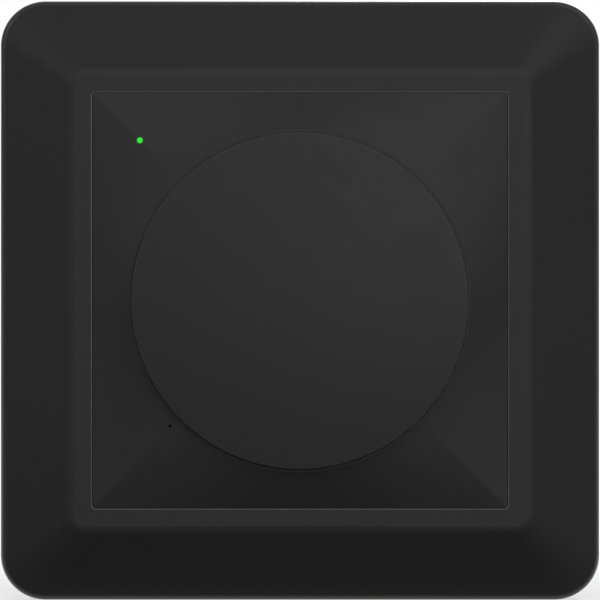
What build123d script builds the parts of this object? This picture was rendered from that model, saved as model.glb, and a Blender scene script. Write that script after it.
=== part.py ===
from build123d import *
import os
from math import atan2, cos, tan

# Rotary dimmer for a round wall box: a square cover frame, a centre plate that rises to a
# round turning knob, and the insert with its terminals behind them.
# Millimetres. X is right, Z is up and the front faces -Y. The origin is the centre of the
# wall plane, and a level is a height in front of that plane, negative inside the wall.

# Mounting plate
box_spacing = 60.0
slot_length = 7.0
slot_width = 4.0
slot_edge = 2.0
yoke_sheet = 1.0
yoke_corner = 4.0
fold_length = 40.0
fold_height = 1.4
window_corner = 2.0
window_margin = 1.0

# Cover frame
frame_wall = 1.8
frame_margin = 2.9
frame_corner = 6.0
frame_edge = 3.2
frame_edge_round = 1.0
lip_width = 2.85
lip_corner = 2.0
lip_round = 2.0
opening_round = 0.13
ledge_level = 4.5
ledge_thickness = 1.5
rib_thickness = 1.2
rib_pitch = 44.0

# Centre plate
plate_width = 55.0
plate_gap = 0.05
plate_corner = 0.4
plate_corner_arc = 0.5
plate_wall = 1.5
plate_step = 0.2
plate_rise = 2.4
plate_brim = 0.35
plate_edge_round = 0.12
barb_width = 8.0
barb_height = 1.0
barb_depth = 0.9
barb_lift = 0.4
barb_play = 0.3
pinhole_diameter = 0.4
pinhole_margin = 1.5
pinhole_angle = 224.0

# Knob
knob_diameter = 44.4
knob_gap = 0.08
knob_proud = 1.0
knob_dome = 1.7
knob_rim_round = 0.2
knob_wall = 1.5
knob_dip = 2.2
hub_diameter = 9.6
knob_rib = 1.0
knob_bars = 3
press_travel = 0.6
clip_thickness = 0.5
clip_height = 0.8
clip_slot = 2.0

# Status light
light_inset = 6.35
light_tip = 0.8
light_body = 2.0
light_sleeve = 0.8
light_shoulder = 0.1
light_gap = 0.2
led_length = 1.6
led_width = 0.8
led_height = 0.6

# Front housing and control board
carrier_clear = 0.5
carrier_corner = 2.0
carrier_wall = 1.4
film = 0.25
solder_room = 1.35
control_thickness = 1.0
component_room = 2.0
front_room = 0.7
board_gap = 0.4
post_diameter = 3.0
post_inset = 3.2
shield_width = 11.0
shield_height = 10.0
shield_thickness = 1.6
shield_offset = 2.0
shield_edge = 0.3
chip_size = 6.0
chip_thickness = 0.9

# Rotary encoder with push switch
encoder_width = 12.0
encoder_height = 12.4
encoder_clear = 0.5
encoder_leg = 0.5
encoder_leg_width = 5.0
switch_floor = 0.6
switch_play = 0.1
plunger_thickness = 0.5
dome_thickness = 0.12
dome_gap = 0.1
rotor_diameter = 9.6
rotor_thickness = 1.2
rotor_float = 0.2
cover_sheet = 0.8
bushing_diameter = 7.0
bushing_length = 1.4
shaft_diameter = 6.0
shaft_flat = 1.5
tail_diameter = 4.0
tail_flats = 3.0
slide_fit = 0.04
stop_gap = 0.2

# Housing screws
screw_inset = 3.5
screw_rise = 8.0
screw_diameter = 2.2
screw_head = 4.0
screw_head_height = 1.6
screw_land = 1.6
screw_grip = 5.0
screw_play = 0.2
boss_diameter = 5.4
collar_diameter = 7.4
boss_clear = 0.3

# Rear housing and power board
insert_depth = 24.0
insert_step = 2.75
insert_corner = 6.5
insert_wall = 1.6
insert_edge = 0.8
power_thickness = 1.6
power_gap = 0.3
transistor_width = 6.6
transistor_depth = 6.1
transistor_height = 2.3
transistor_pitch = 16.0
pad_thickness = 0.7
header_count = 6
header_pitch = 2.54
header_pin = 0.64
header_depth = 2.5
header_inset = 3.0
header_tail = 0.9
header_hole = 0.9

# Power board components
film_width = 16.0
film_depth = 7.5
film_clear = 2.3
film_round = 0.8
can_diameter = 8.0
can_height = 9.5
can_edge = 0.5
choke_diameter = 13.0
choke_core_diameter = 6.0
choke_height = 12.0
choke_flange = 1.2
component_gap = 0.6

# Terminals
terminal_count = 5
terminal_pitch = 5.6
cage_width = 4.4
cage_length = 7.6
cage_depth = 7.0
cage_wall = 0.7
cage_end_wall = 1.2
cage_gap = 0.4
cage_drop = 2.8
bar_thickness = 0.8
bar_leg_gap = 0.5
bar_tail = 0.6
bar_play = 0.1
clamp_diameter = 2.6
clamp_head = 3.8
clamp_play = 0.2
clamp_tip = 1.3
clamp_slot = 0.7
wire_entry = 3.0
step_room = 3.75

# Sizes that follow from the ones above
yoke_width = box_spacing + slot_length + 2 * slot_edge
cavity_width = yoke_width + 2 * frame_margin
frame_width = cavity_width + 2 * frame_wall
opening_width = plate_width + 2 * plate_gap
lip_outline = opening_width + 2 * lip_width
skirt_inner = plate_width - 2 * plate_wall
carrier_width = skirt_inner - 2 * carrier_clear
carrier_room = carrier_width - 2 * carrier_wall
control_width = carrier_room - 2 * board_gap
insert_width = carrier_width - 2 * insert_step
insert_room = insert_width - 2 * insert_wall
power_width = insert_room - 2 * power_gap
hole_radius = knob_diameter / 2 + knob_gap
crest_radius = hole_radius + plate_brim

# Levels in front of the wall
control_rear = yoke_sheet + film + solder_room
control_front = control_rear + control_thickness
carrier_ceiling = control_front + component_room
carrier_top = carrier_ceiling + carrier_wall
plate_edge = carrier_top + front_room + plate_wall
plate_crest = plate_edge + plate_rise
lip_level = plate_edge - plate_step
ledge_base = ledge_level - ledge_thickness
barb_level = ledge_level + barb_lift
rim_level = plate_crest + knob_proud
dome_top = rim_level + knob_dome
bore_end = dome_top - knob_wall
skirt_level = plate_crest - knob_dip

plunger_diameter = tail_diameter + 2 * switch_play
switch_pocket = plunger_diameter + 2 * switch_play

# Levels inside the encoder
switch_level = control_front + switch_floor
plunger_rear = switch_level + press_travel + dome_gap
plunger_front = plunger_rear + plunger_thickness
rotor_seat = plunger_front + rotor_float
rotor_rear = rotor_seat + rotor_float
rotor_front = rotor_rear + rotor_thickness
cover_rear = rotor_front + rotor_float
cover_front = cover_rear + cover_sheet
bushing_top = cover_front + bushing_length
shoulder_level = rotor_front + press_travel + stop_gap
hub_base = bushing_top + press_travel + stop_gap
rib_base = hub_base + clip_height + 2 * stop_gap

# Levels behind the wall
power_front = -(transistor_height + pad_thickness)
power_rear = power_front - power_thickness
back_level = -insert_depth
floor_level = back_level + insert_wall
film_rear = floor_level + film_clear
cage_front = power_rear - cage_drop
cage_rear = cage_front - cage_depth
step_level = cage_rear - insert_wall
chamber_rear = cage_rear + cage_end_wall
chamber_front = cage_front - cage_end_wall
bar_rear = chamber_rear + clamp_tip
bar_front = bar_rear + bar_thickness

# Places across the insert
screw_x = insert_width / 2 - screw_inset
screw_points = [(x, z) for x in (-screw_x, screw_x) for z in (-screw_rise, screw_rise)]
light_x = -(plate_width / 2 - light_inset)
light_z = plate_width / 2 - light_inset
transistor_z = power_width / 2 - component_gap - transistor_depth / 2
window_width = insert_width - 2 * (screw_inset + boss_diameter / 2 + window_margin)
window_height = 2 * (transistor_z - transistor_depth / 2 - window_margin)
header_z = -(window_height / 2 - header_inset)
pin_x = [header_pitch * (i - (header_count - 1) / 2) for i in range(header_count)]
pin_points = [(x, header_z) for x in pin_x]
transistor_points = [(x, transistor_z) for x in (-transistor_pitch / 2, transistor_pitch / 2)]
post_reach = carrier_room / 2 - post_inset
cage_z = -(insert_room / 2 - cage_gap - cage_length / 2)
bar_leg_z = cage_z + cage_length / 2 + bar_leg_gap + bar_thickness / 2
bar_width = cage_width - 2 * cage_wall - 2 * bar_play
terminal_x = [terminal_pitch * (i - (terminal_count - 1) / 2) for i in range(terminal_count)]
clamp_points = [(x, cage_z) for x in terminal_x]
leg_points = [(x, bar_leg_z) for x in terminal_x]
step_z = bar_leg_z + step_room - insert_wall
film_z = insert_room / 2 - component_gap - film_depth / 2
below_film = film_z - film_depth / 2 - component_gap
can_x = (component_gap + can_diameter) / 2
can_z = below_film - can_diameter / 2
choke_x = -(component_gap + choke_diameter) / 2
choke_z = below_film - choke_diameter / 2


def level(height):
    """Plane parallel to the wall, with X to the right, Z up and its normal to the front."""
    return Plane.XZ.offset(height)


def tapered_block(width, corner, base, edge, top_width, top_corner, top):
    """Rounded square block with upright sides to one level and sloped faces to the next."""
    with BuildPart() as block:
        with BuildSketch(level(base)):
            RectangleRounded(width, width, corner)
        extrude(amount=edge - base)
        with BuildSketch(level(edge)):
            RectangleRounded(width, width, corner)
        with BuildSketch(level(top)):
            RectangleRounded(top_width, top_width, top_corner)
        loft(ruled=True)
    return block.part


def square_to_circle(width, corner, base, edge, radius, crest):
    """Square block whose front rises from its square edge to a circle."""
    with BuildPart() as block:
        with BuildSketch(level(base)):
            RectangleRounded(width, width, corner)
        extrude(amount=edge - base)
        with BuildSketch(level(edge)):
            RectangleRounded(width, width, corner)
        with BuildSketch(level(crest)):
            with BuildLine():
                for diagonal in (45, 135, 225, 315):
                    CenterArc((0, 0), radius, diagonal - plate_corner_arc, 2 * plate_corner_arc)
                    CenterArc((0, 0), radius, diagonal + plate_corner_arc, 90 - 2 * plate_corner_arc)
            make_face()
        loft(ruled=True)
    return block.part


def circle_with_flats(radius, flats):
    """Circle with a flat at each given signed distance from its centre, in the open sketch."""
    Circle(radius)
    for flat in flats:
        outside = flat + radius if flat > 0 else flat - radius
        with Locations((0, outside)):
            Rectangle(2 * radius, 2 * radius, mode=Mode.SUBTRACT)


def edges_at(part, height):
    """Edges whose middle lies at a level."""
    tolerance = 0.001
    return part.edges().filter_by_position(Axis.Y, -height - tolerance, -height + tolerance)


os.makedirs("parts", exist_ok=True)

# Cover frame: sloped faces up to a flat lip, hollow behind, with ribs and a ledge for the plate
slope = atan2(lip_level - frame_edge, (frame_width - lip_outline) / 2)
skin = frame_wall / cos(slope)
cavity_knee = frame_edge + frame_wall * tan(slope) - skin
frame_body = tapered_block(
    frame_width, frame_corner, 0, frame_edge, lip_outline, lip_corner, lip_level
)
frame_hollow = tapered_block(
    cavity_width,
    frame_corner - frame_wall,
    0,
    cavity_knee,
    lip_outline,
    lip_corner,
    lip_level - skin,
)

with BuildPart() as frame_room:
    add(frame_hollow)
    with BuildSketch(level(ledge_base)):
        Rectangle(opening_width + 2 * frame_wall, opening_width + 2 * frame_wall)
        with GridLocations(rib_pitch, 1, 2, 1):
            Rectangle(rib_thickness, cavity_width)
        with GridLocations(1, rib_pitch, 1, 2):
            Rectangle(cavity_width, rib_thickness)
    extrude(amount=lip_level - ledge_base, mode=Mode.SUBTRACT)

with BuildPart() as cover_frame:
    add(frame_body)
    fillet(edges_at(cover_frame, lip_level), radius=lip_round)
    fillet(edges_at(cover_frame, frame_edge), radius=frame_edge_round)
    add(frame_room.part, mode=Mode.SUBTRACT)
    with BuildSketch(level(0)):
        Rectangle(skirt_inner, skirt_inner)
    extrude(amount=lip_level, mode=Mode.SUBTRACT)
    with BuildSketch(level(ledge_level)):
        RectangleRounded(opening_width, opening_width, plate_corner + plate_gap)
    extrude(amount=lip_level - ledge_level, mode=Mode.SUBTRACT)
    opening_edges = edges_at(cover_frame, lip_level).sort_by_distance((0, -lip_level, 0))[:8]
    fillet(opening_edges, radius=opening_round)
cover_frame.part.label = "cover_frame"
export_step(cover_frame.part, "parts/cover_frame.step")

# Centre plate: square skirt on the frame's ledge, front face rising to the knob's circle
plate_body = square_to_circle(
    plate_width, plate_corner, ledge_level, plate_edge, crest_radius, plate_crest
)
plate_hollow = square_to_circle(
    skirt_inner,
    plate_corner,
    ledge_level,
    plate_edge - plate_wall,
    crest_radius,
    plate_crest - plate_wall,
)
sleeve_base = carrier_top + front_room / 2
tip_level = plate_edge + light_shoulder

with BuildPart() as center_plate:
    add(plate_body)
    fillet(edges_at(center_plate, plate_edge), radius=plate_edge_round)
    add(plate_hollow, mode=Mode.SUBTRACT)
    with BuildSketch(level(sleeve_base)):
        with Locations((light_x, light_z)):
            Circle(light_body / 2 + light_sleeve)
    extrude(amount=tip_level - sleeve_base)
    with BuildSketch(level(sleeve_base)):
        with Locations((light_x, light_z)):
            Circle(light_body / 2 + slide_fit)
    extrude(amount=tip_level - sleeve_base, mode=Mode.SUBTRACT)
    with BuildSketch(level(ledge_level)):
        Circle(hole_radius)
        with Locations((light_x, light_z)):
            Circle(light_tip / 2 + slide_fit)
        with PolarLocations(hole_radius + pinhole_margin, 1, start_angle=pinhole_angle):
            Circle(pinhole_diameter / 2)
    extrude(amount=plate_crest - ledge_level, mode=Mode.SUBTRACT)
    with BuildSketch(level(barb_level)):
        with PolarLocations((skirt_inner - barb_depth) / 2, 4):
            Rectangle(barb_depth, barb_width)
    extrude(amount=barb_height)
center_plate.part.label = "center_plate"
export_step(center_plate.part, "parts/center_plate.step")

# Knob: domed cap with a hub and radial ribs inside
knob_radius = knob_diameter / 2
room_radius = knob_radius - knob_wall
crown_radius = (knob_radius ** 2 + knob_dome ** 2) / (2 * knob_dome)
with BuildPart() as knob_room:
    with BuildSketch(Plane.XY):
        with BuildLine():
            Polyline(
                (0, -bore_end),
                (0, -skirt_level),
                (room_radius, -skirt_level),
                (room_radius, knob_wall - rim_level),
                close=True,
            )
        make_face()
    revolve(axis=Axis.Y)
    with BuildSketch(level(hub_base)):
        Circle(hub_diameter / 2)
    extrude(amount=dome_top - hub_base, mode=Mode.SUBTRACT)
    with BuildSketch(level(rib_base)):
        with PolarLocations(0, knob_bars, angular_range=180):
            Rectangle(knob_diameter, knob_rib)
    extrude(amount=dome_top - rib_base, mode=Mode.SUBTRACT)

with BuildPart() as rotary_knob:
    with BuildSketch(level(skirt_level)):
        Circle(knob_radius)
    extrude(amount=dome_top - skirt_level)
    with Locations((0, crown_radius - dome_top, 0)):
        Sphere(crown_radius, mode=Mode.INTERSECT)
    fillet(edges_at(rotary_knob, rim_level), radius=knob_rim_round)
    add(knob_room.part, mode=Mode.SUBTRACT)
    with BuildSketch(level(hub_base)):
        circle_with_flats(shaft_diameter / 2 + slide_fit, [shaft_flat + slide_fit])
    extrude(amount=bore_end - hub_base, mode=Mode.SUBTRACT)
rotary_knob.part.label = "rotary_knob"
export_step(rotary_knob.part, "parts/rotary_knob.step")

with BuildPart() as knob_spring_clip:
    with BuildSketch(level(hub_base + stop_gap)):
        Circle(hub_diameter / 2 + slide_fit + clip_thickness)
        Circle(hub_diameter / 2 + slide_fit, mode=Mode.SUBTRACT)
        with Locations((0, -hub_diameter / 2)):
            Rectangle(clip_slot, hub_diameter / 2, mode=Mode.SUBTRACT)
    extrude(amount=clip_height)
knob_spring_clip.part.label = "knob_spring_clip"
export_step(knob_spring_clip.part, "parts/knob_spring_clip.step")

# Status light: a light pipe whose tip is flush with the plate, and the lamp behind it
pipe_base = control_front + led_height + light_gap
with BuildPart() as light_pipe:
    with BuildSketch(level(tip_level)):
        with Locations((light_x, light_z)):
            Circle(light_tip / 2)
    extrude(amount=plate_crest - tip_level)
    add(plate_body, mode=Mode.INTERSECT)
    with BuildSketch(level(pipe_base)):
        with Locations((light_x, light_z)):
            Circle(light_body / 2)
    extrude(amount=tip_level - pipe_base)
light_pipe.part.label = "light_pipe"
export_step(light_pipe.part, "parts/light_pipe.step")

with BuildPart() as status_led:
    with BuildSketch(level(control_front)):
        with Locations((light_x, light_z)):
            Rectangle(led_length, led_width)
    extrude(amount=led_height)
status_led.part.label = "status_led"
export_step(status_led.part, "parts/status_led.step")

# Mounting plate: stamped sheet with a slot on each side and folded edges
with BuildPart() as mounting_plate:
    with BuildSketch(level(0)):
        RectangleRounded(yoke_width, yoke_width, yoke_corner)
        RectangleRounded(window_width, window_height, window_corner, mode=Mode.SUBTRACT)
        with GridLocations(box_spacing, 1, 2, 1):
            SlotOverall(slot_length, slot_width, mode=Mode.SUBTRACT)
        with GridLocations(1, box_spacing, 1, 2):
            SlotOverall(slot_length, slot_width, rotation=90, mode=Mode.SUBTRACT)
        with Locations(*screw_points):
            Circle(screw_diameter / 2 + screw_play, mode=Mode.SUBTRACT)
    extrude(amount=yoke_sheet)
    with BuildSketch(level(yoke_sheet)):
        with PolarLocations((yoke_width - yoke_sheet) / 2, 4):
            Rectangle(yoke_sheet, fold_length)
    extrude(amount=fold_height)
mounting_plate.part.label = "mounting_plate"
export_step(mounting_plate.part, "parts/mounting_plate.step")

with BuildPart() as insulation_sheet:
    with BuildSketch(level(yoke_sheet)):
        Rectangle(control_width, control_width)
        Rectangle(window_width, window_height, mode=Mode.SUBTRACT)
        with Locations(*screw_points):
            Circle(boss_diameter / 2 + boss_clear, mode=Mode.SUBTRACT)
    extrude(amount=film)
insulation_sheet.part.label = "insulation_sheet"
export_step(insulation_sheet.part, "parts/insulation_sheet.step")

# Front housing: shallow tray over the control board, with sunk screw bosses and snap windows
screw_seat = yoke_sheet + screw_land
with BuildPart() as front_housing:
    with BuildSketch(level(yoke_sheet)):
        RectangleRounded(carrier_width, carrier_width, carrier_corner)
    extrude(amount=carrier_top - yoke_sheet)
    with BuildSketch(level(yoke_sheet)):
        Rectangle(carrier_room, carrier_room)
        with Locations(*screw_points):
            Circle(boss_diameter / 2, mode=Mode.SUBTRACT)
    extrude(amount=carrier_ceiling - yoke_sheet, mode=Mode.SUBTRACT)
    with BuildSketch(level(control_front)):
        with PolarLocations(post_reach, 4):
            Circle(post_diameter / 2)
    extrude(amount=component_room)
    with BuildSketch(level(yoke_sheet)):
        with Locations(*screw_points):
            Circle(screw_diameter / 2 + screw_play)
        Rectangle(encoder_width + 2 * encoder_clear, encoder_height + 2 * encoder_clear)
        with Locations((light_x, light_z)):
            Circle(light_body / 2 + boss_clear)
    extrude(amount=carrier_top - yoke_sheet, mode=Mode.SUBTRACT)
    with BuildSketch(level(screw_seat)):
        with Locations(*screw_points):
            Circle(screw_head / 2 + screw_play)
    extrude(amount=carrier_top - screw_seat, mode=Mode.SUBTRACT)
    with BuildSketch(level(barb_level - barb_play)):
        with PolarLocations((carrier_width - carrier_wall) / 2, 4):
            Rectangle(carrier_wall, barb_width + 2 * barb_play)
    extrude(amount=barb_height + 2 * barb_play, mode=Mode.SUBTRACT)
front_housing.part.label = "front_housing"
export_step(front_housing.part, "parts/front_housing.step")

# Control board with its radio module and controller
with BuildPart() as control_board:
    with BuildSketch(level(control_rear)):
        Rectangle(control_width, control_width)
        with Locations(*screw_points):
            Circle(boss_diameter / 2 + boss_clear, mode=Mode.SUBTRACT)
        with Locations(*pin_points):
            Rectangle(header_hole, header_hole, mode=Mode.SUBTRACT)
    extrude(amount=control_thickness)
control_board.part.label = "control_board"
export_step(control_board.part, "parts/control_board.step")

with BuildPart() as radio_shield:
    with BuildSketch(level(control_front)):
        with Locations((shield_offset + shield_width / 2, post_reach - shield_height / 2)):
            Rectangle(shield_width, shield_height)
    extrude(amount=shield_thickness)
    chamfer(edges_at(radio_shield, control_front + shield_thickness), length=shield_edge)
radio_shield.part.label = "radio_shield"
export_step(radio_shield.part, "parts/radio_shield.step")

with BuildPart() as controller_chip:
    with BuildSketch(level(control_front)):
        with Locations((-(shield_offset + chip_size / 2), post_reach - shield_height / 2)):
            Rectangle(chip_size, chip_size)
    extrude(amount=chip_thickness)
controller_chip.part.label = "controller_chip"
export_step(controller_chip.part, "parts/controller_chip.step")

# Rotary encoder: base, cover with bushing, rotor, sliding shaft and push switch
with BuildPart() as encoder_base:
    with BuildSketch(level(control_front)):
        Rectangle(encoder_width, encoder_height)
    extrude(amount=cover_rear - control_front)
    with BuildSketch(level(rotor_seat)):
        Circle(rotor_diameter / 2 + rotor_float)
    extrude(amount=cover_rear - rotor_seat, mode=Mode.SUBTRACT)
    with BuildSketch(level(switch_level)):
        Circle(switch_pocket / 2)
    extrude(amount=rotor_seat - switch_level, mode=Mode.SUBTRACT)
encoder_base.part.label = "encoder_base"
export_step(encoder_base.part, "parts/encoder_base.step")

with BuildPart() as encoder_cover:
    with BuildSketch(level(cover_rear)):
        Rectangle(encoder_width + 2 * encoder_leg, encoder_height)
    extrude(amount=cover_sheet)
    with BuildSketch(level(control_front)):
        with GridLocations(encoder_width + encoder_leg, 1, 2, 1):
            Rectangle(encoder_leg, encoder_leg_width)
    extrude(amount=cover_rear - control_front)
    with BuildSketch(level(cover_front)):
        Circle(bushing_diameter / 2)
    extrude(amount=bushing_length)
    with BuildSketch(level(cover_rear)):
        Circle(shaft_diameter / 2 + slide_fit)
    extrude(amount=bushing_top - cover_rear, mode=Mode.SUBTRACT)
encoder_cover.part.label = "encoder_cover"
export_step(encoder_cover.part, "parts/encoder_cover.step")

with BuildPart() as encoder_rotor:
    with BuildSketch(level(rotor_rear)):
        Circle(rotor_diameter / 2)
    extrude(amount=rotor_thickness)
    with BuildSketch(level(rotor_rear)):
        circle_with_flats(
            tail_diameter / 2 + slide_fit,
            [-tail_flats / 2 - slide_fit, tail_flats / 2 + slide_fit],
        )
    extrude(amount=rotor_thickness, mode=Mode.SUBTRACT)
encoder_rotor.part.label = "encoder_rotor"
export_step(encoder_rotor.part, "parts/encoder_rotor.step")

with BuildPart() as encoder_shaft:
    with BuildSketch(level(plunger_front)):
        circle_with_flats(tail_diameter / 2, [-tail_flats / 2, tail_flats / 2])
    extrude(amount=shoulder_level - plunger_front)
    with BuildSketch(level(shoulder_level)):
        Circle(shaft_diameter / 2)
    extrude(amount=hub_base - shoulder_level)
    with BuildSketch(level(hub_base)):
        circle_with_flats(shaft_diameter / 2, [shaft_flat])
    extrude(amount=bore_end - stop_gap - hub_base)
encoder_shaft.part.label = "encoder_shaft"
export_step(encoder_shaft.part, "parts/encoder_shaft.step")

with BuildPart() as switch_plunger:
    with BuildSketch(level(plunger_rear)):
        Circle(plunger_diameter / 2)
    extrude(amount=plunger_thickness)
switch_plunger.part.label = "switch_plunger"
export_step(switch_plunger.part, "parts/switch_plunger.step")

dome_radius = plunger_diameter / 2
with BuildPart() as switch_dome:
    with BuildSketch(Plane.XY):
        with BuildLine():
            TangentArc((0, -plunger_rear), (dome_radius, -switch_level), tangent=(1, 0))
            Line((dome_radius, -switch_level), (dome_radius - dome_thickness, -switch_level))
            TangentArc(
                (0, -plunger_rear + dome_thickness),
                (dome_radius - dome_thickness, -switch_level),
                tangent=(1, 0),
            )
            Line((0, -plunger_rear + dome_thickness), (0, -plunger_rear))
        make_face()
    revolve(axis=Axis.Y)
switch_dome.part.label = "switch_dome"
export_step(switch_dome.part, "parts/switch_dome.step")

# Screws that clamp the two housings on the mounting plate
with BuildPart() as housing_screws:
    with BuildSketch(level(-screw_grip)):
        with Locations(*screw_points):
            Circle(screw_diameter / 2)
    extrude(amount=screw_grip + screw_seat)
    with BuildSketch(level(screw_seat)):
        with Locations(*screw_points):
            Circle(screw_head / 2)
    extrude(amount=screw_head_height)
housing_screws.part.label = "housing_screws"
export_step(housing_screws.part, "parts/housing_screws.step")

# Rear housing: deep box for the tall components, stepped at the bottom for the terminals
with BuildPart() as rear_room:
    with BuildSketch(level(floor_level)):
        RectangleRounded(insert_room, insert_room, insert_corner - insert_wall)
    extrude(amount=-floor_level)
    with BuildSketch(level(floor_level)):
        with Locations((0, step_z + insert_wall - insert_room)):
            Rectangle(insert_room, 2 * insert_room)
    extrude(amount=cage_rear - floor_level, mode=Mode.SUBTRACT)
    with BuildSketch(level(cage_rear)):
        with Locations((0, cage_z)):
            with GridLocations(terminal_pitch, 1, terminal_count + 1, 1):
                Rectangle(terminal_pitch - cage_width - 2 * bar_play, cage_length + 2 * cage_gap)
    extrude(amount=cage_depth, mode=Mode.SUBTRACT)
    with BuildSketch(level(floor_level)):
        with Locations(*screw_points):
            Circle(boss_diameter / 2)
    extrude(amount=-floor_level, mode=Mode.SUBTRACT)
    with BuildSketch(level(floor_level)):
        with Locations(*screw_points):
            Circle(collar_diameter / 2)
    extrude(amount=power_rear - floor_level, mode=Mode.SUBTRACT)

with BuildPart() as rear_housing:
    with BuildSketch(level(back_level)):
        RectangleRounded(insert_width, insert_width, insert_corner)
    extrude(amount=-back_level)
    with BuildSketch(level(back_level)):
        with Locations((0, step_z - insert_width)):
            Rectangle(2 * insert_width, 2 * insert_width)
    extrude(amount=step_level - back_level, mode=Mode.SUBTRACT)
    chamfer(edges_at(rear_housing, back_level), length=insert_edge)
    chamfer(edges_at(rear_housing, step_level).sort_by(Axis.Z)[:-1], length=insert_edge)
    add(rear_room.part, mode=Mode.SUBTRACT)
    with BuildSketch(level(step_level)):
        with Locations(*clamp_points):
            Circle(clamp_head / 2 + clamp_play)
    extrude(amount=insert_wall, mode=Mode.SUBTRACT)
    with BuildSketch(Plane.XY.offset(-insert_width / 2)):
        with Locations(*[(x, -(bar_front + chamber_front) / 2) for x in terminal_x]):
            Circle(wire_entry / 2)
    extrude(amount=insert_wall, mode=Mode.SUBTRACT)
    with BuildSketch(level(-screw_grip - stop_gap)):
        with Locations(*screw_points):
            Circle(screw_diameter / 2 + slide_fit)
    extrude(amount=screw_grip + stop_gap, mode=Mode.SUBTRACT)
rear_housing.part.label = "rear_housing"
export_step(rear_housing.part, "parts/rear_housing.step")

# Power board and what it carries
with BuildPart() as power_board:
    with BuildSketch(level(power_rear)):
        RectangleRounded(power_width, power_width, insert_corner - insert_wall - power_gap)
        with Locations(*screw_points):
            Circle(boss_diameter / 2 + boss_clear, mode=Mode.SUBTRACT)
        with Locations(*pin_points):
            Rectangle(header_hole, header_hole, mode=Mode.SUBTRACT)
        with Locations(*leg_points):
            Rectangle(bar_width + 2 * bar_play, bar_thickness + 2 * bar_play, mode=Mode.SUBTRACT)
    extrude(amount=power_thickness)
power_board.part.label = "power_board"
export_step(power_board.part, "parts/power_board.step")

with BuildPart() as header_body:
    with BuildSketch(level(power_front)):
        with Locations((0, header_z)):
            Rectangle(header_count * header_pitch, header_depth)
        with Locations(*pin_points):
            Rectangle(header_pin + slide_fit, header_pin + slide_fit, mode=Mode.SUBTRACT)
    extrude(amount=header_depth)
header_body.part.label = "header_body"
export_step(header_body.part, "parts/header_body.step")

with BuildPart() as header_pins:
    with BuildSketch(level(power_rear - header_tail)):
        with Locations(*pin_points):
            Rectangle(header_pin, header_pin)
    extrude(amount=control_front - power_rear + 2 * header_tail)
header_pins.part.label = "header_pins"
export_step(header_pins.part, "parts/header_pins.step")

with BuildPart() as power_transistors:
    with BuildSketch(level(power_front)):
        with Locations(*transistor_points):
            Rectangle(transistor_width, transistor_depth)
    extrude(amount=transistor_height)
power_transistors.part.label = "power_transistors"
export_step(power_transistors.part, "parts/power_transistors.step")

with BuildPart() as thermal_pads:
    with BuildSketch(level(-pad_thickness)):
        with Locations(*transistor_points):
            Rectangle(transistor_width, transistor_depth)
    extrude(amount=pad_thickness)
thermal_pads.part.label = "thermal_pads"
export_step(thermal_pads.part, "parts/thermal_pads.step")

with BuildPart() as film_capacitor:
    with BuildSketch(level(film_rear)):
        with Locations((0, film_z)):
            Rectangle(film_width, film_depth)
    extrude(amount=power_rear - film_rear)
    fillet(film_capacitor.edges().filter_by(Axis.Y), radius=film_round)
film_capacitor.part.label = "film_capacitor"
export_step(film_capacitor.part, "parts/film_capacitor.step")

with BuildPart() as electrolytic_capacitors:
    with BuildSketch(level(power_rear - can_height)):
        with Locations((can_x, can_z), (can_x, can_z - can_diameter - component_gap)):
            Circle(can_diameter / 2)
    extrude(amount=can_height)
    chamfer(edges_at(electrolytic_capacitors, power_rear - can_height), length=can_edge)
electrolytic_capacitors.part.label = "electrolytic_capacitors"
export_step(electrolytic_capacitors.part, "parts/electrolytic_capacitors.step")

choke_bottom = power_rear - choke_height
with BuildPart() as choke_core:
    with BuildSketch(level(choke_bottom)):
        with Locations((choke_x, choke_z)):
            Circle(choke_core_diameter / 2)
    extrude(amount=choke_height)
    for flange_level in (choke_bottom, power_rear - choke_flange):
        with BuildSketch(level(flange_level)):
            with Locations((choke_x, choke_z)):
                Circle(choke_diameter / 2)
        extrude(amount=choke_flange)
choke_core.part.label = "choke_core"
export_step(choke_core.part, "parts/choke_core.step")

with BuildPart() as choke_winding:
    with BuildSketch(level(choke_bottom + choke_flange)):
        with Locations((choke_x, choke_z)):
            Circle(choke_diameter / 2 - component_gap)
            Circle(choke_core_diameter / 2 + slide_fit, mode=Mode.SUBTRACT)
    extrude(amount=choke_height - 2 * choke_flange)
choke_winding.part.label = "choke_winding"
export_step(choke_winding.part, "parts/choke_winding.step")

# Terminals: clamp cages in a row, their contact bars and screws
with BuildPart() as terminal_cages:
    with BuildSketch(level(cage_rear)):
        with Locations(*clamp_points):
            Rectangle(cage_width, cage_length)
    extrude(amount=cage_depth)
    with BuildSketch(level(chamber_rear)):
        with Locations(*clamp_points):
            Rectangle(cage_width - 2 * cage_wall, cage_length)
    extrude(amount=chamber_front - chamber_rear, mode=Mode.SUBTRACT)
    with BuildSketch(level(cage_rear)):
        with Locations(*clamp_points):
            Circle(clamp_diameter / 2 + slide_fit)
    extrude(amount=cage_end_wall, mode=Mode.SUBTRACT)
terminal_cages.part.label = "terminal_cages"
export_step(terminal_cages.part, "parts/terminal_cages.step")

bar_start = cage_z - cage_length / 2
bar_end = bar_leg_z + bar_thickness / 2
with BuildPart() as terminal_bars:
    with BuildSketch(level(bar_rear)):
        with Locations(*[(x, (bar_start + bar_end) / 2) for x in terminal_x]):
            Rectangle(bar_width, bar_end - bar_start)
    extrude(amount=bar_thickness)
    with BuildSketch(level(bar_rear)):
        with Locations(*leg_points):
            Rectangle(bar_width, bar_thickness)
    extrude(amount=power_front + bar_tail - bar_rear)
terminal_bars.part.label = "terminal_bars"
export_step(terminal_bars.part, "parts/terminal_bars.step")

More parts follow.
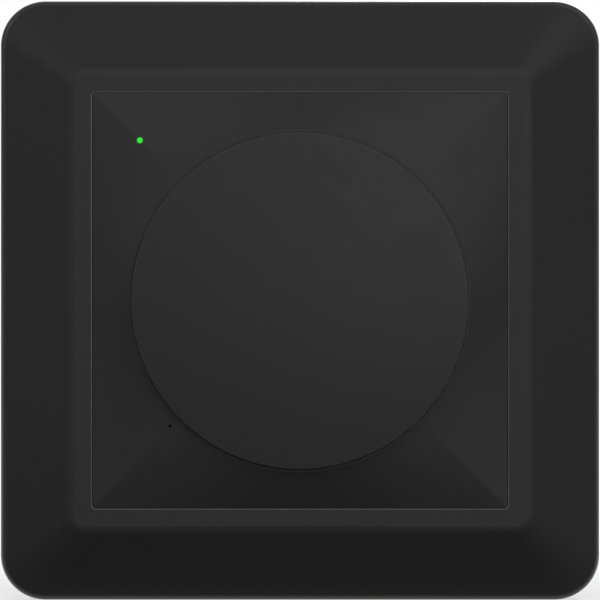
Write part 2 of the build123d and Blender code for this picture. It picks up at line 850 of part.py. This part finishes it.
with BuildPart() as terminal_screws:
    with BuildSketch(level(step_level)):
        with Locations(*clamp_points):
            Circle(clamp_head / 2)
    extrude(amount=insert_wall)
    with BuildSketch(level(cage_rear)):
        with Locations(*clamp_points):
            Circle(clamp_diameter / 2)
    extrude(amount=bar_rear - cage_rear)
    with BuildSketch(level(step_level)):
        with Locations(*clamp_points):
            Rectangle(clamp_slot, clamp_head)
    extrude(amount=clamp_slot, mode=Mode.SUBTRACT)
terminal_screws.part.label = "terminal_screws"
export_step(terminal_screws.part, "parts/terminal_screws.step")
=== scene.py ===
"""Looks of the rotary dimmer: finishes, floor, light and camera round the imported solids."""
import math
from collections import namedtuple

import bpy
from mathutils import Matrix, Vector


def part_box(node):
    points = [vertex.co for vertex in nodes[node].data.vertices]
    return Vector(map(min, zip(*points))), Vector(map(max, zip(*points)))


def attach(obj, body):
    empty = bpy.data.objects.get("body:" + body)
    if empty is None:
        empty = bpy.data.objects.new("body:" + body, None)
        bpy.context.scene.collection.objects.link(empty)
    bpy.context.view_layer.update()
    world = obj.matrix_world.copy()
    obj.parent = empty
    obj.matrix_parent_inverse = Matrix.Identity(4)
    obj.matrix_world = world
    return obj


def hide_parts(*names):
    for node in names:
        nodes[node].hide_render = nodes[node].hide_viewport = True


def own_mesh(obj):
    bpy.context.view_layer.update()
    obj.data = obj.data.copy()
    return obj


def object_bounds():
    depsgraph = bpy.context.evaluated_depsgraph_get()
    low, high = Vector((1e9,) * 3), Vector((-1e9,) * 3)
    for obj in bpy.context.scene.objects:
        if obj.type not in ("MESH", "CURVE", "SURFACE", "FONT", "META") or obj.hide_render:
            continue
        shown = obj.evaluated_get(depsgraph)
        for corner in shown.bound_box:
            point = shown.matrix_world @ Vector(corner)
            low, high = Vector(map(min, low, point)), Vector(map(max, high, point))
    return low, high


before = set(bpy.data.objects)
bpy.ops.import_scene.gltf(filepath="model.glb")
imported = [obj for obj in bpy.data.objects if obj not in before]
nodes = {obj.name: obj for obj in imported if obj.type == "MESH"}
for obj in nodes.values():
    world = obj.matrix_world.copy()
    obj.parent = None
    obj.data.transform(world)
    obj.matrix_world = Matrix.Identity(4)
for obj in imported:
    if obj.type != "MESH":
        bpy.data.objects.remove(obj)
cad_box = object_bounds()

MM = 0.001

# Longer than the part along any axis
BEYOND = 1.0

# Matt black of the covers, and the clear shine on their edge strips, which also carry a painted highlight
COVER = (0.02, 0.02, 0.02)
COVER_ROUGH = 0.54
COVER_LEVEL = 0.2
SHINE_ROUGH = 0.2

# Flow clouds and gloss patches of mouldings, in millimetres, and how far the gloss strays
FLOW_CLOUDS = 14.0
GLOSS_PATCHES = 3.0
GLOSS_STRAY = 0.03

# Corners and gaps of the front, seen square on
FRAME_CORNER = 6.0 * MM
OPENING_CORNER = 0.45 * MM
OPENING_GAP = 0.05 * MM
KNOB_GAP = 0.08 * MM

# An edge strip fades out this far behind its level
STRIP_FADE = 0.3 * MM

# Green of the status light, in the middle and at the edge of its tip, and of the pipe's resin
GLOW_MIDDLE = (0.009, 0.83, 0.012)
GLOW_EDGE = (0.006, 0.46, 0.008)
RESIN_DARK = (0.005, 0.06, 0.006)
RESIN_LIGHT = (0.008, 0.1, 0.01)

# Floor as it is seen, and as it throws light back
FLOOR_SEEN = 0.86
FLOOR_BOUNCE = 0.16

# Places of the two colours and of the result on a colour mix node
MIX_COLOURS = (6, 7)
MIX_RESULT = 2

# A strip along an edge: the edge's outline from the front, where the strip starts and is full past
# it, the level that it starts at, how much lighter it is as a painted highlight, and how much smoother and
# shinier it is
Strip = namedtuple("Strip", "half corner start full level lift polish coat")


class Wiring:
    """A tree of shader nodes, with short calls for what the finishes, the floor and the world share."""

    def __init__(self, tree):
        self.tree = tree

    def add(self, kind, **settings):
        node = self.tree.nodes.new(kind)
        for key, value in settings.items():
            setattr(node, key, value)
        return node

    def link(self, output, socket):
        self.tree.links.new(output, socket)

    def feed(self, sockets, values):
        """Give each socket a constant, or link it to another node's output."""
        for socket, value in zip(sockets, values):
            if isinstance(value, bpy.types.NodeSocket):
                self.link(value, socket)
            else:
                socket.default_value = value

    def math(self, operation, *values):
        node = self.add("ShaderNodeMath", operation=operation)
        self.feed(node.inputs, values)
        return node.outputs["Value"]

    def vector(self, operation, *values, output="Vector"):
        node = self.add("ShaderNodeVectorMath", operation=operation)
        self.feed(node.inputs, values)
        return node.outputs[output]

    def axis(self, place, name):
        node = self.add("ShaderNodeSeparateXYZ")
        self.link(place, node.inputs["Vector"])
        return node.outputs[name]

    def spread(self, value, low=0.0, high=1.0, start=0.3, end=0.7):
        """A value between start and end, where noise mostly lies, spread over low to high."""
        node = self.add("ShaderNodeMapRange")
        self.feed(node.inputs, (value, start, end, low, high))
        return node.outputs["Result"]

    def mix(self, factor, first, second):
        """Colour between two colours."""
        node = self.add("ShaderNodeMix", data_type="RGBA")
        self.link(factor, node.inputs["Factor"])
        colours = [(*colour, 1.0) if isinstance(colour, tuple) else colour for colour in (first, second)]
        self.feed([node.inputs[place] for place in MIX_COLOURS], colours)
        return node.outputs[MIX_RESULT]

    def rays(self):
        """1 for rays from the camera, and 1 for rays that were mirrored or let through."""
        path = self.add("ShaderNodeLightPath")
        passed = self.math("MAXIMUM", path.outputs["Is Glossy Ray"], path.outputs["Is Transmission Ray"])
        return path.outputs["Is Camera Ray"], passed


class Finish(Wiring):
    """A node material with one shader, laid out in the model's own metres."""

    def __init__(self, name):
        self.material = bpy.data.materials.new(name)
        self.material.use_nodes = True
        super().__init__(self.material.node_tree)
        self.shader = self.tree.nodes["Principled BSDF"]
        self.place = self.add("ShaderNodeTexCoord").outputs["Object"]

    def shade(self, **values):
        """Constants or nodes' outputs for the shader's sockets, with _ for the spaces in their names."""
        sockets = {socket.name.lower().replace(" ", "_"): socket for socket in self.shader.inputs}
        self.feed([sockets[key] for key in values], values.values())

    def stretched(self, x, y, z):
        node = self.add("ShaderNodeMapping")
        node.inputs["Scale"].default_value = (x, y, z)
        self.link(self.place, node.inputs["Vector"])
        return node.outputs["Vector"]

    def noise(self, size, detail=2.0, place=None):
        """Cloudy value from 0 to 1 with features of about the given size in millimetres."""
        node = self.add("ShaderNodeTexNoise")
        node.inputs["Scale"].default_value = 1 / (size * MM)
        node.inputs["Detail"].default_value = detail
        self.link(place or self.place, node.inputs["Vector"])
        return node.outputs["Fac"]

    def cells(self, size, output="Distance", feature="F1"):
        """Voronoi cells of about the given size in millimetres."""
        node = self.add("ShaderNodeTexVoronoi", feature=feature)
        node.inputs["Scale"].default_value = 1 / (size * MM)
        self.link(self.place, node.inputs["Vector"])
        return node.outputs[output]

    def bump(self, height, depth):
        """Relief of a depth in millimetres."""
        node = self.add("ShaderNodeBump")
        node.inputs["Distance"].default_value = depth * MM
        self.link(height, node.inputs["Height"])
        return node.outputs["Normal"]

    def past_outline(self, half, corner):
        """Distance outside a rounded square seen from the front, negative inside it."""
        straight = half - corner
        size = self.vector("ABSOLUTE", self.place)
        past = self.vector("SUBTRACT", size, (straight, BEYOND, straight))
        outside = self.vector("MAXIMUM", past, (0.0, 0.0, 0.0))
        distance = self.vector("LENGTH", outside, output="Value")
        return self.math("SUBTRACT", distance, corner)

    def strip(self, strip):
        """1 on a strip along an edge, 0 away from it and behind it."""
        outline = self.past_outline(strip.half, strip.corner)
        across = self.spread(outline, start=strip.start, end=strip.full)
        depth = self.axis(self.place, "Y")
        ahead = self.spread(depth, start=STRIP_FADE - strip.level, end=-strip.level)
        return self.math("MULTIPLY", across, ahead)


def grey(value):
    return (value, value, value)


def scaled(colour, factor):
    return tuple(min(1.0, channel * factor) for channel in colour)


def flow_clouds(finish, colour, vary):
    """Colour with faint clouds where the plastic flowed into the mould."""
    clouds = finish.noise(FLOW_CLOUDS, detail=3.0)
    return finish.mix(clouds, scaled(colour, 1 - vary), scaled(colour, 1 + vary))


def uneven_gloss(finish, rough):
    """Roughness that strays a little over a moulding."""
    patches = finish.noise(GLOSS_PATCHES, detail=3.0)
    return finish.spread(patches, low=rough - GLOSS_STRAY, high=rough + GLOSS_STRAY)


def moulded(name, colour, rough, grain, relief, vary=0.1):
    """Moulded plastic: fine spark-eroded grain, faint flow clouds and uneven gloss."""
    finish = Finish(name)
    finish.shade(
        base_color=flow_clouds(finish, colour, vary),
        roughness=uneven_gloss(finish, rough),
        normal=finish.bump(finish.noise(grain), relief),
    )
    return finish.material


def cover(name, strips):
    """Fine matt black of the covers, with strips along its edges made smoother, and lighter as a painted
    highlight.
    """
    finish = Finish(name)
    colour = flow_clouds(finish, COVER, vary=0.03)
    rough = uneven_gloss(finish, COVER_ROUGH)
    shine = 0.0
    for strip in strips:
        edge = finish.strip(strip)
        # Painted highlight: the colour along each strip is lightened by the strip's factor
        colour = finish.mix(edge, colour, scaled(COVER, strip.lift))
        rough = finish.math("MULTIPLY_ADD", edge, -strip.polish, rough)
        if strip.coat:
            shine = finish.math("MULTIPLY_ADD", edge, strip.coat, shine)
    finish.shade(
        base_color=colour,
        roughness=rough,
        specular_ior_level=COVER_LEVEL,
        coat_weight=shine,
        coat_roughness=SHINE_ROUGH,
        normal=finish.bump(finish.noise(size=0.11), depth=0.001),
    )
    return finish.material


def plated(name, colour, rough, spangle, relief):
    """Zinc-plated sheet: soft crystal patches, rolling lines and dull spots."""
    finish = Finish(name)
    patches = finish.cells(spangle, output="Color")
    clouds = finish.spread(finish.noise(size=6.0, detail=4.0), high=0.55)
    crystals = finish.spread(patches, high=0.45, start=0.0, end=1.0)
    tone = finish.math("ADD", clouds, crystals)
    lines = finish.noise(size=1.0, detail=3.0, place=finish.stretched(x=6.0, y=6.0, z=0.08))
    finish.shade(
        base_color=finish.mix(tone, scaled(colour, 0.72), scaled(colour, 1.06)),
        metallic=1.0,
        roughness=finish.spread(patches, low=rough - 0.07, high=rough + 0.09, start=0.0, end=1.0),
        normal=finish.bump(lines, relief),
    )
    return finish.material


def turned(name, colour, rough, lines_along=(8.0, 8.0, 0.1)):
    """Bright turned or drawn metal with fine lines and a few dull patches."""
    finish = Finish(name)
    patches = finish.noise(size=1.6, detail=4.0)
    lines = finish.noise(size=0.8, place=finish.stretched(*lines_along))
    finish.shade(
        base_color=finish.mix(patches, scaled(colour, 0.8), scaled(colour, 1.1)),
        metallic=1.0,
        roughness=finish.spread(patches, low=rough + 0.08, high=rough - 0.04),
        normal=finish.bump(lines, depth=0.0015),
    )
    return finish.material


def glowing(name, centre, radius):
    """Light pipe lit from behind: brightest in the middle of its tip."""
    finish = Finish(name)
    flat = finish.vector("MULTIPLY", finish.place, (1.0, 0.0, 1.0))
    offset = finish.vector("DISTANCE", flat, (centre.x, 0.0, centre.z), output="Value")
    reach = finish.spread(offset, start=0.3 * radius, end=radius)
    finish.shade(
        base_color=finish.mix(finish.noise(size=0.4), RESIN_DARK, RESIN_LIGHT),
        roughness=0.25,
        emission_color=finish.mix(reach, GLOW_MIDDLE, GLOW_EDGE),
        emission_strength=1.0,
    )
    return finish.material


def lacquered_board(name, colour):
    """Circuit board: raised tracks and filled areas under green lacquer."""
    finish = Finish(name)
    tracks = finish.cells(size=2.6, feature="DISTANCE_TO_EDGE")
    copper = finish.spread(tracks, start=0.16, end=0.2)
    filled = finish.math("GREATER_THAN", finish.noise(size=7.0, detail=0.0), 0.54)
    raised = finish.math("MAXIMUM", copper, filled)
    finish.shade(
        base_color=finish.mix(raised, scaled(colour, 0.7), scaled(colour, 1.35)),
        roughness=0.32,
        normal=finish.bump(raised, depth=0.02),
    )
    return finish.material


def wound(name, colour, pitch):
    """Enamelled wire in even turns, with painted shade in the grooves between them."""
    finish = Finish(name)
    angle = finish.math("MULTIPLY", finish.axis(finish.place, "Y"), math.tau / (pitch * MM))
    turns = finish.math("SINE", angle)
    # Painted shade: the colour darkens towards the grooves between turns
    crowns = finish.spread(turns, start=-1.0, end=1.0)
    finish.shade(
        base_color=finish.mix(crowns, scaled(colour, 0.45), colour),
        metallic=0.9,
        roughness=finish.spread(finish.noise(size=0.7), low=0.22, high=0.36),
        normal=finish.bump(turns, depth=0.06),
    )
    return finish.material


def sleeved(name, colour, stripe_x):
    """Shrunk capacitor sleeve with a pale stripe down one side."""
    finish = Finish(name)
    stripe = finish.math("GREATER_THAN", finish.axis(finish.place, "X"), stripe_x)
    finish.shade(
        base_color=finish.mix(stripe, colour, grey(0.42)),
        roughness=finish.spread(finish.noise(size=1.2), low=0.28, high=0.4),
        coat_weight=0.3,
        coat_roughness=0.2,
        normal=finish.bump(finish.noise(size=1.5), depth=0.02),
    )
    return finish.material


def dress(material, *names):
    for name in names:
        mesh = nodes[name].data
        mesh.materials.clear()
        mesh.materials.append(material)


# Front covers, with painted highlights along their edges
frame_low, frame_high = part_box("cover_frame")
plate_low, plate_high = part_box("center_plate")
knob_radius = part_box("rotary_knob")[1].x
hole_radius = knob_radius + KNOB_GAP
# Each strip paints a highlight into the colour: along the opening edge, along the outer rim, on the
# plate's crest beside the knob's slit, and on the knob's rim
opening_strip = Strip(
    half=plate_high.x + OPENING_GAP,
    corner=OPENING_CORNER,
    start=0.12 * MM,
    full=0.09 * MM,
    level=-frame_low.y - 0.15 * MM,
    lift=8.0,
    polish=0.3,
    coat=1.0,
)
rim_strip = Strip(
    half=frame_high.x,
    corner=FRAME_CORNER,
    start=-0.74 * MM,
    full=-0.44 * MM,
    level=2.0 * MM,
    lift=2.4,
    polish=0.25,
    coat=0.6,
)
hole_strip = Strip(
    half=hole_radius,
    corner=hole_radius,
    start=0.12 * MM,
    full=0.04 * MM,
    level=-plate_low.y - 0.2 * MM,
    lift=1.4,
    polish=0.1,
    coat=0.0,
)
knob_strip = Strip(
    half=knob_radius,
    corner=knob_radius,
    start=-0.22 * MM,
    full=-0.12 * MM,
    level=12.3 * MM,
    lift=1.6,
    polish=0.1,
    coat=0.0,
)
dress(cover("frame_cover", (opening_strip, rim_strip)), "cover_frame")
dress(cover("plate_cover", (hole_strip,)), "center_plate")
dress(cover("knob_cover", (knob_strip,)), "rotary_knob")

# Status light
pipe_low, pipe_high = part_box("light_pipe")
pipe_middle = (pipe_low + pipe_high) / 2
dress(glowing("lit_pipe", pipe_middle, radius=0.4 * MM), "light_pipe")
dress(glowing("lit_lamp", pipe_middle, radius=1.0 * MM), "status_led")

# Housings, mounting plate and other plated metal
dress(
    moulded("housing_shell", (0.017, 0.017, 0.0175), rough=0.55, grain=0.45, relief=0.03),
    "rear_housing",
    "front_housing",
)
dress(
    plated("zinc_sheet", (0.56, 0.565, 0.575), rough=0.34, spangle=1.4, relief=0.004),
    "mounting_plate",
)
dress(
    plated("zinc_screws", grey(0.6), rough=0.3, spangle=0.7, relief=0.002),
    "housing_screws",
)
dress(
    plated("shield_sheet", (0.62, 0.61, 0.58), rough=0.3, spangle=1.1, relief=0.002),
    "radio_shield",
)
dress(
    plated("encoder_sheet", grey(0.58), rough=0.32, spangle=1.0, relief=0.002),
    "encoder_cover",
)

# Turned and drawn metal
dress(
    turned("spring_steel", (0.42, 0.42, 0.435), rough=0.28),
    "knob_spring_clip",
    "switch_dome",
)
dress(
    turned("shaft_metal", (0.55, 0.55, 0.56), rough=0.25, lines_along=(0.1, 8.0, 0.1)),
    "encoder_shaft",
)
dress(
    turned("clamp_screws", (0.55, 0.54, 0.5), rough=0.3, lines_along=(8.0, 0.1, 8.0)),
    "terminal_screws",
)
dress(
    turned("brass", (0.72, 0.52, 0.22), rough=0.26),
    "terminal_bars",
    "terminal_cages",
    "header_pins",
)

# Inner mouldings, pads and film
dress(
    moulded("inner_black", grey(0.03), rough=0.4, grain=0.2, relief=0.004),
    "encoder_base",
    "header_body",
    "controller_chip",
)
dress(
    moulded("inner_grey", (0.1, 0.1, 0.105), rough=0.38, grain=0.25, relief=0.005),
    "encoder_rotor",
    "switch_plunger",
)
dress(
    moulded("transistor_epoxy", grey(0.022), rough=0.48, grain=0.12, relief=0.004),
    "power_transistors",
)
dress(
    moulded("silicone_pad", (0.24, 0.27, 0.3), rough=0.62, grain=0.35, relief=0.01),
    "thermal_pads",
)
dress(
    moulded("insulating_film", (0.5, 0.27, 0.05), rough=0.3, grain=0.6, relief=0.002),
    "insulation_sheet",
)

# Boards, capacitors and choke
dress(lacquered_board("board", (0.02, 0.115, 0.05)), "control_board", "power_board")
dress(
    moulded("capacitor_case", (0.62, 0.42, 0.06), rough=0.33, grain=0.4, relief=0.006, vary=0.06),
    "film_capacitor",
)
stripe_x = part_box("electrolytic_capacitors")[1].x - 0.8 * MM
dress(sleeved("capacitor_sleeve", (0.015, 0.017, 0.05), stripe_x), "electrolytic_capacitors")
dress(
    moulded("ferrite", (0.06, 0.06, 0.064), rough=0.58, grain=0.18, relief=0.008),
    "choke_core",
)
dress(wound("enamelled_wire", (0.74, 0.3, 0.12), pitch=0.62), "choke_winding")


def sprung_dome():
    """Copy of the contact dome with a mesh of its own, on the base body, in place of the imported one."""
    dome = bpy.data.objects.new("contact_dome", nodes["switch_dome"].data.copy())
    bpy.context.scene.collection.objects.link(dome)
    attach(dome, "base")
    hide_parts("switch_dome")
    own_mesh(dome)


def make_floor(level, radius, ahead, near, far, pale, mirror):
    """Pale disc that keeps the shadow near the object and runs out to plain white.

    Its white share, as seen, grows from pale to 1 between near and far from a point ahead of the
    object. Its white share, as mirrored, grows from 0 to 1 between the two depths in mirror.
    """
    bpy.ops.mesh.primitive_circle_add(vertices=96, radius=radius, fill_type="NGON", location=(0, 0, level))
    floor = bpy.context.object
    floor.name = "floor"
    finish = Finish("pale_floor")
    seen, mirrored = finish.rays()
    offset = finish.vector("DISTANCE", finish.place, (0.0, -ahead, 0.0), output="Value")
    away = finish.spread(offset, low=pale, start=near, end=far)
    behind = finish.spread(finish.axis(finish.place, "Y"), start=mirror[0], end=mirror[1])
    share = finish.math("MULTIPLY_ADD", seen, away, finish.math("MULTIPLY", mirrored, behind))
    finish.shade(
        base_color=finish.mix(seen, grey(FLOOR_BOUNCE), grey(FLOOR_SEEN)),
        roughness=0.9,
        specular_ior_level=0.1,
    )
    white = finish.add("ShaderNodeEmission")
    mix = finish.add("ShaderNodeMixShader")
    output = finish.tree.nodes["Material Output"]
    finish.feed(mix.inputs, (share, finish.shader.outputs["BSDF"], white.outputs["Emission"]))
    finish.link(mix.outputs["Shader"], output.inputs["Surface"])
    floor.data.materials.append(finish.material)


def make_world(around, mirror):
    """White to look at, and a dim studio that lights the object from around.

    As mirrored, it grows from black to white between the two backward slopes in mirror.
    """
    world = bpy.data.worlds.new("studio")
    world.use_nodes = True
    bpy.context.scene.world = world
    wiring = Wiring(world.node_tree)
    direction = wiring.add("ShaderNodeTexCoord").outputs["Generated"]
    behind = wiring.spread(wiring.axis(direction, "Y"), start=mirror[0], end=mirror[1])
    seen, mirrored = wiring.rays()
    studio = wiring.mix(mirrored, grey(around), behind)
    background = wiring.tree.nodes["Background"]
    wiring.link(wiring.mix(seen, studio, grey(1.0)), background.inputs["Color"])


def soft_light(name, place, size, power):
    """Soft square lamp that faces the middle of the object."""
    lamp = bpy.data.lights.new(name, "AREA")
    lamp.shape = "SQUARE"
    lamp.size = size
    lamp.energy = power
    light = bpy.data.objects.new(name, lamp)
    light.location = place
    light.rotation_mode = "QUATERNION"
    light.rotation_quaternion = (-Vector(place)).to_track_quat("-Z", "Y")
    light.visible_camera = False
    bpy.context.scene.collection.objects.link(light)


def make_camera(distance, height, lens):
    """Camera square on to the front, at the distance that the photograph's perspective gives."""
    data = bpy.data.cameras.new("camera")
    data.sensor_width = 36.0
    data.lens = lens
    data.clip_start = 0.01
    data.clip_end = 50.0
    camera = bpy.data.objects.new("camera", data)
    camera.location = (0.0, -distance, height)
    camera.rotation_euler = (math.radians(90.0), 0.0, 0.0)
    bpy.context.scene.collection.objects.link(camera)
    bpy.context.scene.camera = camera


sprung_dome()
make_floor(
    level=cad_box[0].z,
    radius=4.0,
    ahead=0.03,
    near=0.035,
    far=0.11,
    pale=0.6,
    mirror=(-0.005, -0.002),
)
make_world(around=0.03, mirror=(0.3, 0.8))
soft_light("key", place=(0.24, -0.62, 0.345), size=0.9, power=4.8)
soft_light("front", place=(0.2, -0.72, 0.0), size=0.45, power=1.0)
soft_light("fill", place=(-0.483, -0.502, 0.279), size=0.45, power=1.05)
soft_light("side", place=(-0.59, -0.329, 0.33), size=0.45, power=0.42)
soft_light("back", place=(0.25, 0.7, 0.55), size=0.5, power=3.0)
make_camera(distance=0.4445, height=0.000067, lens=197.3)

bpy.context.scene.view_settings.view_transform = "Standard"
